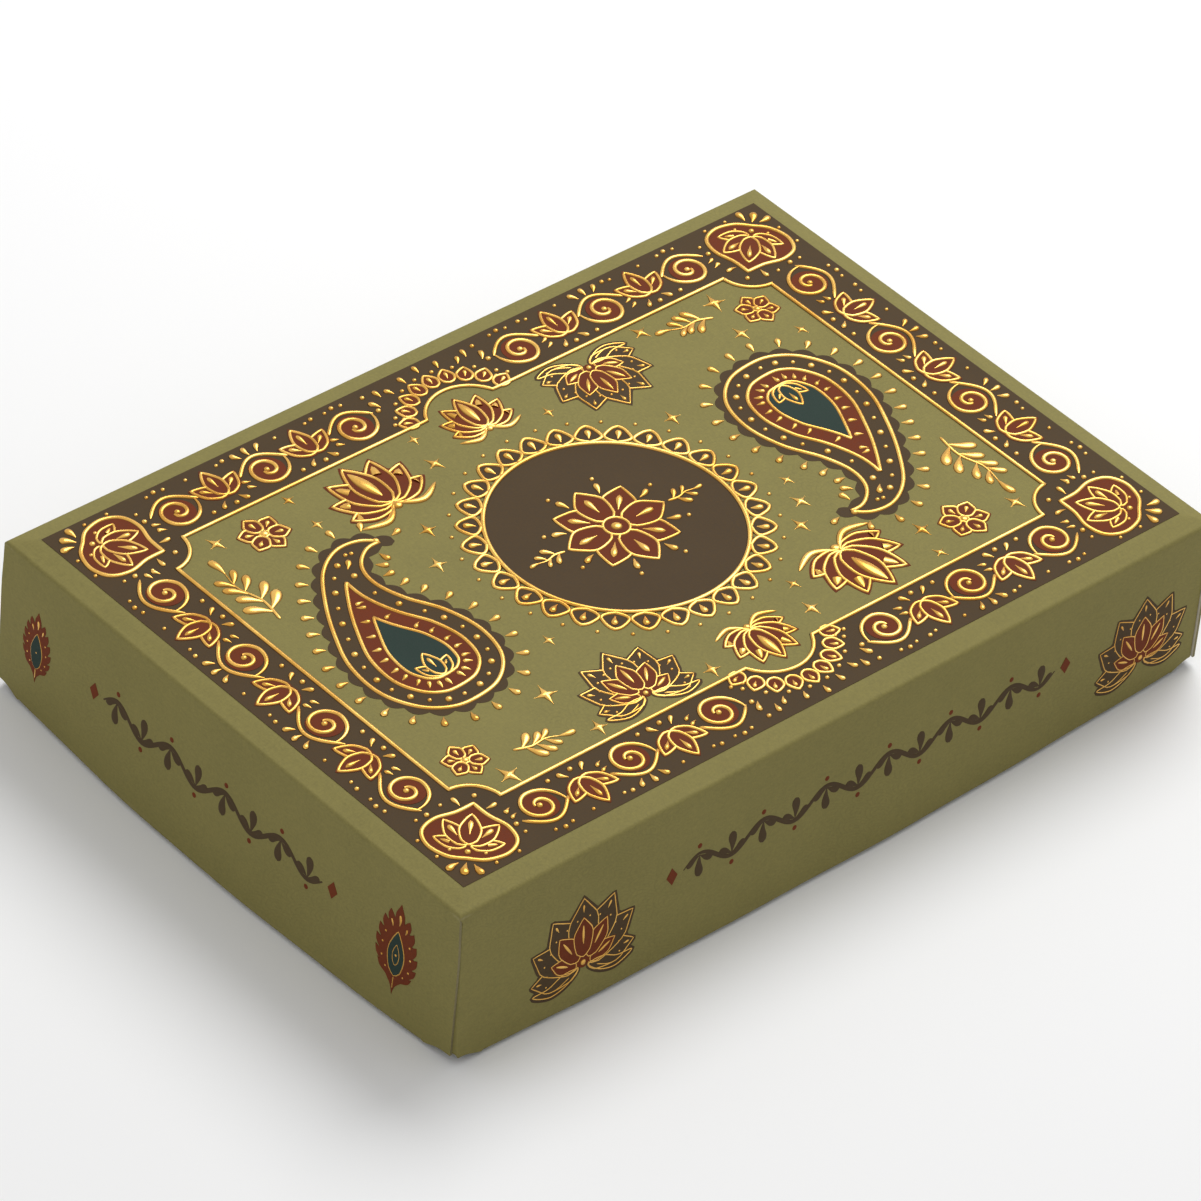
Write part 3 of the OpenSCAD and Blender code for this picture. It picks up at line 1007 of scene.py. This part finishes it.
def makePalmette(line):
    # Dark layered petals with thin gold outlines round a maroon heart, on two leaves
    leans, palmette = fanned(7, 172, 0.22), Motif()
    heart = makeBloom(fanned(5, 130, 0.26), 12.4, 6.4, 0.58, 3.4, grow=0.5, line=line,
                      veins=((0.3, 0.84, line * 2.2, "leaf"),))
    crown = makeBloom(leans, 20.0, 10.0, 0.6, 2.0, ground="brownInk", grow=1.2, line=line,
                      veins=((0.76, 0.9, line * 1.9, "drop"),), over=[heart.edge])
    for turn, size in leans:
        for at in moved([-2.1 + 15.6j, 2.1 + 15.6j], 0j, turn, size):
            crown.dot(at, line * 0.8)
    foot = curvePath([1.8 + 0.2j, 5.4 - 3.2j, 11.0 - 4.6j, 16.6 - 2.2j, 11.4 - 1.6j, 6.6 + 0.6j],
                     closed=True, step=1.0)
    vein = curvePath([4.6 - 1.2j, 8.8 - 3.0j, 12.8 - 3.0j])
    for leaf, spine in ((foot, vein), (mirrored(foot), mirrored(vein))):
        palmette.fill(grown(leaf, 1.0), "brownInk").loop(leaf, line).stroke(spine, line, "tail")
    return palmette.add(crown).add(heart).dot(1.6j, 1.0)


# Large boteh: outline from its foot round by the right, and the lobes along its edge
botehShape = {
    "outline": [-19.5j, 9.5 - 17.2j, 16.4 - 10j, 18.2 + 0.5j, 15.4 + 11j, 10.2 + 19.5j, 7.6 + 27j, 8.6 + 33j,
                13 + 37j, 18.4 + 37.6j, 13.5 + 42.2j, 5.8 + 42.6j, -2 + 37.6j, -8.6 + 28j, -13.8 + 17.5j,
                -17.6 + 6.5j, -17.6 - 5j, -13.2 - 13.8j, -7 - 18.4j],
    "lobes": 30, "lobeSteps": 10,
}


def makeBoteh(b):
    boteh, per = Motif(), b["lobeSteps"]
    edge = evenly(curvePath(b["outline"], closed=True, step=1.0), b["lobes"] * per)
    out = outwards(edge)
    lobed = [p + n * (0.3 + 1.3 * abs(math.sin(math.pi * k / per)))
             for k, (p, n) in enumerate(zip(edge, out))]
    boteh.fill(lobed, "brownInk").loop(grown(edge, -1.2)[::2], 1.3)
    for k in range(0, len(edge), per):
        p, n = edge[k + per // 2], out[k + per // 2]
        lean = math.degrees(cmath.phase(n)) - 90
        boteh.drop(p + n * 2.1, lean, 3.2, 1.9)
        bead, seed = edge[k] - out[k] * 3.9, edge[k] - out[k] * 8.1
        if min(abs(bead - q) for q in edge) > 3.6:
            boteh.dot(bead, 0.95 if k % (2 * per) else 0.65)
        if min(abs(seed - q) for q in edge) > 8.0:
            boteh.drop(seed, lean + 180, 2.4, 1.4)
    middle, core = grown(edge, -6.6)[::2], grown(edge, -11.4)[::2]
    boteh.fill(middle).loop(middle, 1.2).fill(core, "tealInk").loop(core, 1.0)
    bud = makeBloom(fanned(3, 84, 0.2), 8.4, 4.2, ground=None, line=0.8, veins=((0.36, 0.8, 1.2, "drop"),))
    return boteh.add(bud, at=0.1 - 7.6j).drop(4.1 + 34.4j, -38, 3.4, 1.8).dot(15.9 + 39.2j, 1.0)


# Border, frame line and medallion on the top of the lid
topLayout = {
    "vineInset": 9.75, "bayHalf": 20.5, "cornerRoom": 27.0, "palmInset": 7.3, "frameLine": 1.25,
    "scoop": 9.0, "bayRadius": 13.0, "bayBack": 6.0, "petals": 30,
    "longVine": "cbfbc", "shortVine": "cbfbfbc",
}


def framePath(t):
    # Field outline: scooped corners and a round bay in each long side
    edge = t["frameLine"] / 2
    fx, fy, scoop, bay = fieldX - edge, fieldY - edge, t["scoop"] + edge, t["bayRadius"] - edge
    bayX = math.sqrt(bay ** 2 - (fy - fieldY + t["bayBack"]) ** 2)
    low = math.degrees(math.atan2(fy - fieldY + t["bayBack"], bayX))
    start, run = fieldY - scoop, fieldX - scoop - bayX
    half = [complex(fx, -start + i * start / 30) for i in range(61)]
    half += arcPath(complex(fieldX, fieldY), scoop, 268, 182, 14)
    half += [complex(fieldX - scoop - i * run / 46, fy) for i in range(46)]
    half += arcPath(complex(0, fieldY - t["bayBack"]), bay, low, 180 - low, 22)
    half += [complex(-bayX - i * run / 46, fy) for i in range(1, 47)]
    half += arcPath(complex(-fieldX, fieldY), scoop, -2, -88, 14)
    return half + [-p for p in half]


def makeBayFan(centre):
    # Petals, beads and drops that fan out over a bay
    fan, angles = Motif(), [24 + 132 * k / 8 for k in range(9)]
    for a in angles:
        petal = moved(petalPath(5.4, 4.3), centre + cmath.rect(14.5, math.radians(a)), a - 90)
        fan.fill(grown(petal, 0.35)).loop(petal, 0.95)
        fan.drop(centre + cmath.rect(16.2, math.radians(a)), a - 90, 2.5, 1.3)
    for a in angles[:-1]:
        fan.dot(centre + cmath.rect(20.2, math.radians(a + 8.25)), 0.7)
    for a in (60, 75, 90, 105, 120):
        fan.drop(centre + cmath.rect(21.0 if a % 30 else 21.6, math.radians(a)), a - 90, 3.0, 1.6)
    return fan.pairs([(17.2 + 10.4j, -30, 3.6, 1.8), (14.4 + 13.6j, -10, 3.2, 1.6)],
                     [(18.6 + 16.2j, 0.75), (15.6 + 3.2j, 0.6), (19 + 2.6j, 0.7)])


def drawBorder(t, sheet):
    sheet.stamp(Motif().loop(framePath(t), t["frameLine"]))
    longRun = printX - t["cornerRoom"] - t["bayHalf"]
    longVine = makeVine(longRun, t["longVine"])
    shortVine = makeVine(2 * (printY - t["cornerRoom"]), t["shortVine"])
    midY, midX, centre = printY - t["vineInset"], printX - t["vineInset"], t["bayHalf"] + longRun / 2
    fan, palm = makeBayFan(-1j * t["bayBack"]), makeCornerPalm()
    for turn, rotor in ((0, 1), (180, -1)):
        sheet.stamp(longVine, complex(centre, midY) * rotor, turn)
        sheet.stamp(longVine, complex(-centre, midY) * rotor, turn, flip=True)
        sheet.stamp(shortVine, complex(midX, 0) * rotor, turn - 90)
        sheet.stamp(fan, 1j * fieldY * rotor, turn)
    for sx, sy in ((1, 1), (1, -1), (-1, 1), (-1, -1)):
        inward = math.degrees(cmath.phase(-complex(sx, sy))) - 90
        sheet.stamp(palm, complex(sx * (printX - t["palmInset"]), sy * (printY - t["palmInset"])), inward)


def drawMedallion(t, low, high):
    # Petals lie on the card; the ring and the rosette on the disc
    reach, petals, outer = petalReach - discRadius - 1.0, [], Motif()
    for k in range(t["petals"]):
        a = 360 * k / t["petals"]
        ray = cmath.rect(1, math.radians(a))
        foot = ray * (discRadius + 0.8)
        petals.append(moved(petalPath(reach, 7.1, 0.36), foot, a - 90))
        outer.stroke(moved(petalPath(reach, 7.1, 0.36, closed=False), foot, a - 90), 1.15, "even")
        outer.drop(ray * (discRadius + 2.2), a - 90, 3.4, 2.1)
        outer.dot(cmath.rect(petalReach + 1.4, math.radians(a + 180 / t["petals"])), 0.6)
    low.stamp(Motif().fill(aroundShapes(0j, petals, 0.6, step=1), "brownInk"))
    low.stamp(outer)
    high.stamp(Motif().loop(arcPath(0j, discRadius + 0.3, 0, 357.5, 143), 1.4))
    high.stamp(makeRosette("maroonInk"))


# Field: place, lean and size of each motif, all stamped again half a turn on; rooms are kept free
# of the scattered stars and dots, which have a gap to keep and a room to take
fieldLayout = {
    "boteh": [(-72.5 - 10j, -3, 1.08)],
    "lotus": [(50.0j, 0, 0.92), (-39.5 + 40.4j, 8, 1.24)],
    "palmette": [(-37.5 - 54.5j, -4, 0.86)],
    "sprig": [(-92 + 22j, 2, 1.0)],
    "flower": [(-74 + 50j, 10, 1.0), (-90 - 46j, 0, 0.86)],
    "shortSprig": [(-78 - 50j, -100, 0.95)],
}
scatter = {
    "rooms": ((-72 - 10j, 28), (-74 + 8j, 22), (-64 + 26j, 16), (56j, 15), (-91 + 33j, 12), (-41 + 48j, 17),
              (-37 - 46j, 17), (-74 + 50j, 9), (-90 - 46j, 8), (-70 - 51j, 9)),
    "medallionRoom": 3, "cornerRoom": topLayout["scoop"] + 4, "seed": 17, "tries": 3000,
    "halfX": 96, "halfY": 57, "stars": 40, "starRoom": (3.0, 5.5), "dots": 110, "dotRoom": (0.9, 3.2),
}


def drawField(places, s, sheet):
    motifs = {"boteh": makeBoteh(botehShape), "lotus": makeLotus(14.0, 6.4), "palmette": makePalmette(0.62),
              "sprig": makeSprig(22, 4, 8.0), "flower": makeFlower(6, 6.6),
              "shortSprig": makeSprig(14, 3, 6.6)}
    taken = [(0j, petalReach + s["medallionRoom"])]
    for turn, rotor in ((0, 1), (180, -1)):
        for name, spots in places.items():
            for at, lean, size in spots:
                sheet.stamp(motifs[name], at * rotor, turn + lean, size)
        taken += [(at * rotor, room) for at, room in s["rooms"]]
    chance, scattered = random.Random(s["seed"]), 0
    stars = [makeStar(size) for size in (2.0, 2.7, 3.5)]
    for n in range(s["tries"]):
        isStar = scattered < s["stars"]
        gap, room = s["starRoom"] if isStar else s["dotRoom"]
        spot = complex(chance.uniform(-s["halfX"], s["halfX"]), chance.uniform(-s["halfY"], s["halfY"]))
        inCorner = abs(complex(abs(spot.real) - fieldX, abs(spot.imag) - fieldY)) < s["cornerRoom"]
        if inCorner or any(abs(spot - c) < r + gap for c, r in taken):
            continue
        if isStar:
            sheet.stamp(stars[chance.choice((0, 0, 1, 1, 2))], spot, chance.uniform(-20, 20))
        else:
            sheet.stamp(Motif().dot(0j, chance.uniform(0.45, 0.75)), spot)
        taken.append((spot, room))
        scattered += 1
        if scattered >= s["stars"] + s["dots"]:
            break


onCard = Print(lambda u, v, h: (u, v, topZ + h))
onFilm = Print(lambda u, v, h: (u, v, topZ + h), base=filmTop - topZ)
drawBorder(topLayout, onFilm)
drawMedallion(topLayout, onCard, onFilm)
drawField(fieldLayout, scatter, onCard)
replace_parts(onFilm.pieces("border", "lid")["goldFoil"], "foil_frame")
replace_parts(onCard.pieces("field", "lid")["goldFoil"], "medallion_foil")
print("top of the lid printed")


# Walls of the lid, seen from outside: palmettes on the long sides, flame leaves on the short,
# each with its distance from the wall's left or right end and its size, shrunk about its middle
wallLayout = {
    "palmettes": ((40.0, 0.95), (22.0, 0.93)), "palmetteFoot": 11.0,
    "flames": ((15.0, 0.84), (20.0, 1.06)), "flameFoot": 9.5, "middle": 12,
    "bandUp": 25.0, "bandPitch": 10.6, "relief": 0.55, "line": 0.42, "grid": 7.0,
}


def makeFlameLeaf():
    # Maroon leaf with upswept barbs and a dark almond in the middle
    leaf, at = Motif(), 2.5 + 4.6j
    right = curvePath([0j, 0.7 + 2.4j, at], step=0.8)
    for tip, notch in ((5.6 + 7.6j, 4.2 + 7.0j), (6.7 + 10.8j, 4.9 + 10.0j), (6.8 + 14.2j, 4.9 + 13.2j),
                       (6.1 + 17.6j, 4.3 + 16.4j), (4.9 + 20.8j, 3.2 + 19.2j), (3.2 + 23.4j, 1.6 + 21.6j)):
        right += curvePath([at, at * 0.45 + tip * 0.55 + (tip - at) * -0.16j, tip], step=0.8)[1:]
        right += [tip * 0.5 + notch * 0.5 - 0.15]
        at = notch
    leaf.fill(bothSides(right + [at, 1.4 + 23.6j, 26.5j]))
    almond = [p + 5.4j for p in petalPath(13.0, 5.4)]
    leaf.fill(almond, "tealInk").loop(almond, 0.5)
    leaf.loop([p + 8.6j for p in petalPath(6.0, 2.2)], 0.42).dot(11.4j, 0.45)
    leaf.stroke([complex(0, 1.6 + 0.4 * k) for k in range(10)], 0.5).drop(19.6j, 0, 3.8, 1.1)
    return leaf.pairs([(1.9 + 18.4j, -18, 2.6, 0.8)],
                      [(2.9 + 6.6j, 0.34), (4.4 + 9.0j, 0.4), (4.6 + 12.8j, 0.4), (4.0 + 16.2j, 0.4)])


def makeBand(count, pitch):
    # A plain running vine in dark ink, trefoils in its hollows
    band, length, steps = Motif(), count * pitch, count * 12
    band.stroke([complex(length * i / steps - length / 2, 2.8 * math.cos(math.pi * (i / 12 - 0.5)))
                 for i in range(steps + 1)], 1.4, "line", "brownInk")
    for k in range(count):
        way = 1 if k % 2 else -1
        at = complex((k + 0.5) * pitch - length / 2, -way * 2.2)
        for lean, size in ((-62, 4.8), (0, 6.4), (62, 4.8)):
            band.drop(at, lean if way > 0 else 180 + lean, size, size * 0.46, "brownInk")
        band.dot(at - 2.8j * way, 0.8, "maroonInk")
    for end in (-1, 1):
        band.fill(moved([1.8, 2.6j, -1.8, -2.6j], complex(end * (length / 2 + 3.8), 0)))
    return band


def drawWalls(w, b):
    longSet = makePalmette(w["line"]), w["palmettes"], w["palmetteFoot"], makeBand(12, w["bandPitch"])
    shortSet = makeFlameLeaf(), w["flames"], w["flameFoot"], makeBand(8, w["bandPitch"])
    every = Print(None)
    for wall in (Wall(b, number) for number in range(4)):

        def place(u, v, h):
            return wall.turn(u, wall.lean(u, wall.down(v - topZ)) + h, v)

        sheet = Print(place, relief=w["relief"], grid=w["grid"])
        motif, ends, foot, band = longSet if wall.long else shortSet
        for sign, (reach, size) in zip((-1, 1), ends):
            up = foot + w["middle"] * (1 - size)
            sheet.stamp(motif, complex(sign * (wall.half - reach), up), size=size)
        sheet.stamp(band, complex((ends[0][0] - ends[1][0]) / 2, w["bandUp"]))
        for colour, pile in sheet.piles.items():
            whole = every.piles.setdefault(colour, Sheet())
            whole.faces += [tuple(i + len(whole.points) for i in face) for face in pile.faces]
            whole.points += pile.points
            whole.wear += pile.wear
    every.pieces("wall", "lid")


drawWalls(wallLayout, lidBlank)
print("walls printed")


# Pad on the tray floor: gold card pressed into diamonds
padSheet = {"diamond": 7.0, "parts": 5, "depth": 0.33}


def makePad(p):
    low, high = boxMm("base_pad")
    step, sheet, rows, stops = p["diamond"] / p["parts"], Sheet(), [], []
    for half in high[:2]:
        count = math.floor(half / step)
        stops.append([-half] + [i * step for i in range(-count, count + 1)] + [half])
    for y in stops[1]:
        row = []
        for x in stops[0]:
            ridge = math.prod(abs(math.sin(math.pi * slant / p["diamond"])) for slant in (x + y, x - y))
            row.append(sheet.add((x, y, high[2] - p["depth"] * (1 - ridge ** 0.5))))
        rows.append(row)
    sheet.quads(list(zip(*rows)), 0)
    border = rimOf(rows)
    under = [sheet.add((*sheet.points[i][:2], low[2])) for i in border]
    sheet.quads([border + border[:1], under + under[:1]], 0)
    sheet.faces.append(tuple(reversed(under)))
    piece = makePiece("padSheet", sheet.points, sheet.faces, ["goldPad"])
    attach(piece, "base")
    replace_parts(piece, "base_pad")


# Cover sheet on the divider: a thumb cut in each short end, a foil line and a rosette
coverSheet = {
    "corner": 4.0, "thumb": 9.0, "swell": 0.16, "marginX": 13.0, "marginY": 9.0, "scoop": 7.0,
    "line": 0.8, "linePoints": 220, "relief": 0.5, "grid": 7.0,
}


def corners(halfX, halfY, radius, scooped=False):
    # Rectangle with rounded or scooped corners
    path = []
    for k, (sx, sy) in enumerate(((1, 1), (-1, 1), (-1, -1), (1, -1))):
        middle = complex(sx * halfX, sy * halfY)
        start = 90 * k + (270 if scooped else 0)
        path += arcPath(middle if scooped else middle - radius * complex(sx, sy), radius,
                        start, start + (-90 if scooped else 90), 8)
    return path


def makeCover(c):
    low, high = boxMm("cover_card")
    sunk = printRelief["sunk"]

    def place(u, v, h):
        swell = c["swell"] * (1 + math.sin(u * 0.045) * math.cos(v * 0.05 + 0.6))
        return u, v, low[2] + sunk + h + swell

    around = corners(high[0], high[1], c["corner"])
    outline = (arcPath(complex(high[0], 0), c["thumb"], 270, 90, 16) + around[:18]
               + arcPath(complex(-high[0], 0), c["thumb"], 90, -90, 16) + around[18:])
    sheet, thick = Sheet(), high[2] - low[2] - sunk
    Print(place, grid=c["grid"]).addFill(sheet, outline, thick)
    piece = makePiece("coverSheet", sheet.points, sheet.faces, ["coverPaper"])
    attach(piece, "cover")
    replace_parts(piece, "cover_card")
    foil = Print(place, base=thick, relief=c["relief"])
    line = corners(high[0] - c["marginX"], high[1] - c["marginY"], c["scoop"], True)
    foil.stamp(Motif().loop(evenly(line, c["linePoints"]), c["line"]))
    foil.stamp(makeRosette(None))
    foil.pieces("cover", "cover")


makePad(padSheet)
makeCover(coverSheet)
print("pad and cover sheet laid")


# Nodes kept as they are, with finishes of their own
keptNodes = {
    "brownInk": ("printed_border", "medallion_ground"),
    "dividerCard": ("partition_long_front", "partition_long_back", "partition_cross_left",
                    "partition_cross_middle", "partition_cross_right"),
}
for name, kept in keptNodes.items():
    for node in kept:
        nodes[node].data.materials.clear()
        nodes[node].data.materials.append(finish[name])
print("divider and print grounds finished")


# Studio: pale floor, one broad key behind the box to the right, a weak fill
studio = {
    "floorHalf": 4, "floorColour": (0.9, 0.9, 0.9),
    "keyPlace": (0.75, 0.35, 1.15), "keySize": 0.9, "keyPower": 13.0,
    "fillPlace": (-1.25, -0.35, 0.7), "fillSize": 1.2, "fillPower": 1.5,
    "skyHigh": 0.62, "skyLow": 0.22,
}


def makeLight(name, place, size, power):
    data = bpy.data.lights.new(name, "AREA")
    data.shape = "DISK"
    data.size = size
    data.energy = power
    light = bpy.data.objects.new(name, data)
    light.location = place
    light.rotation_euler = (Vector((0, 0, 0.03)) - Vector(place)).to_track_quat("-Z", "Y").to_euler()
    scene.collection.objects.link(light)


def makeStudio(s):
    makeLight("key", s["keyPlace"], s["keySize"], s["keyPower"])
    makeLight("fill", s["fillPlace"], s["fillSize"], s["fillPower"])
    far = s["floorHalf"]
    mesh = bpy.data.meshes.new("floor")
    mesh.from_pydata([(-far, -far, 0), (far, -far, 0), (far, far, 0), (-far, far, 0)], [], [(0, 1, 2, 3)])
    floor = bpy.data.objects.new("floor", mesh)
    scene.collection.objects.link(floor)
    material, n, shader = newMaterial("paleFloor")
    shader.inputs["Base Color"].default_value = (*s["floorColour"], 1)
    shader.inputs["Roughness"].default_value = 0.9
    shader.inputs["Specular IOR Level"].default_value = 0.1
    mesh.materials.append(material)
    world = bpy.data.worlds.new("studio")
    world.use_nodes = True
    scene.world = world
    background = next(n for n in world.node_tree.nodes if n.type == "BACKGROUND")
    n = Wiring(world.node_tree)
    split = n.add("SeparateXYZ", {0: n.add("TexCoord").outputs["Generated"]})
    height = n.ramp(split.outputs[2], -0.1, 0.8)
    level = n.plus(s["skyLow"], n.times(height, s["skyHigh"] - s["skyLow"]))
    # Pale for the camera, and in what gloss and glass show; the level above lights the rest
    path = n.add("LightPath")
    seen = path.outputs["Is Camera Ray"]
    for ray in ("Is Glossy Ray", "Is Transmission Ray"):
        seen = n.math("MAXIMUM", seen, path.outputs[ray])
    n.feed(background.inputs["Strength"], n.math("MAXIMUM", seen, level))
    background.inputs["Color"].default_value = (1, 1, 1, 1)
    scene.view_settings.view_transform = "Standard"


makeStudio(studio)
print("studio lit")
